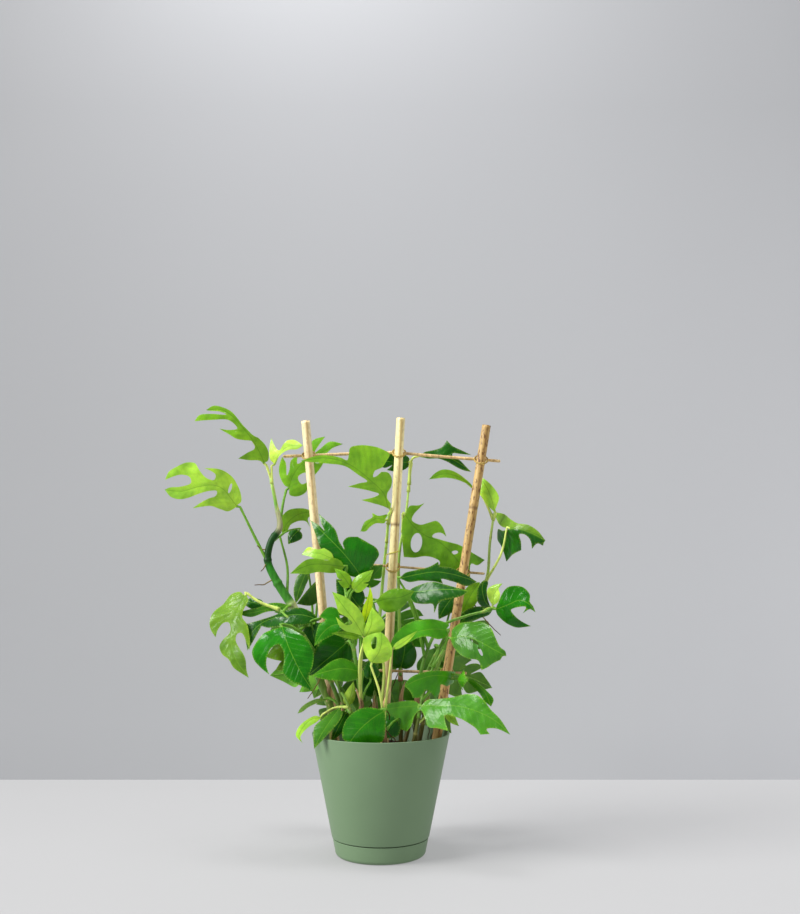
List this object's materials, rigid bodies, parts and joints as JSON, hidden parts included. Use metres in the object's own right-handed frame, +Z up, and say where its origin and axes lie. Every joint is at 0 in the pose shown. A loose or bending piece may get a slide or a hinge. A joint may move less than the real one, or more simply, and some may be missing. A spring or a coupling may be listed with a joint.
{
  "type": "potted mini monstera",
  "caption": "Mini monstera with small split leaves, climbing a bamboo ladder of stakes and crossbars, in a tapered plastic pot with a matching saucer.",
  "frame": {"origin": "middle of the saucer's flat underside, on the pot's axis", "axes": "+Z up along the pot's axis, +X to the right along the ladder of stakes, -Y towards the viewer's side, where the leaves are fullest"},
  "size_m": [0.5019, 0.2468, 0.5813],
  "materials": {
    "pot_plastic": "satin sage-green moulded plastic",
    "soil": "dark moist bark and peat mix, crumbly",
    "bamboo": "pale dried bamboo with knots",
    "tie_wire": "thin coated garden wire",
    "leaf": "smooth living leaf, satin with a soft gloss"
  },
  "bodies": {
    "root": {"saucer": "pot_plastic", "pot": "pot_plastic", "soil": "soil", "stake_left": "bamboo", "stake_middle": "bamboo", "stake_right": "bamboo", "crossbar_top": "bamboo", "crossbar_middle": "bamboo", "crossbar_low": "bamboo", "tie_top_left": "tie_wire", "tie_top_middle": "tie_wire", "tie_top_right": "tie_wire", "tie_middle_middle": "tie_wire", "tie_middle_right": "tie_wire", "tie_low_left": "tie_wire", "tie_low_right": "tie_wire", "stem_left_tall": "leaf", "stem_left_low": "leaf", "stem_left_front": "leaf", "stem_centre_front": "leaf", "stem_centre_tall": "leaf", "stem_centre_back": "leaf", "stem_right_tall": "leaf", "stem_right_mid": "leaf", "stem_right_low": "leaf", "stem_pot_front": "leaf", "stem_back_left": "leaf", "stem_back_mid": "leaf", "stem_back_right": "leaf"}
  },
  "joints": []
}
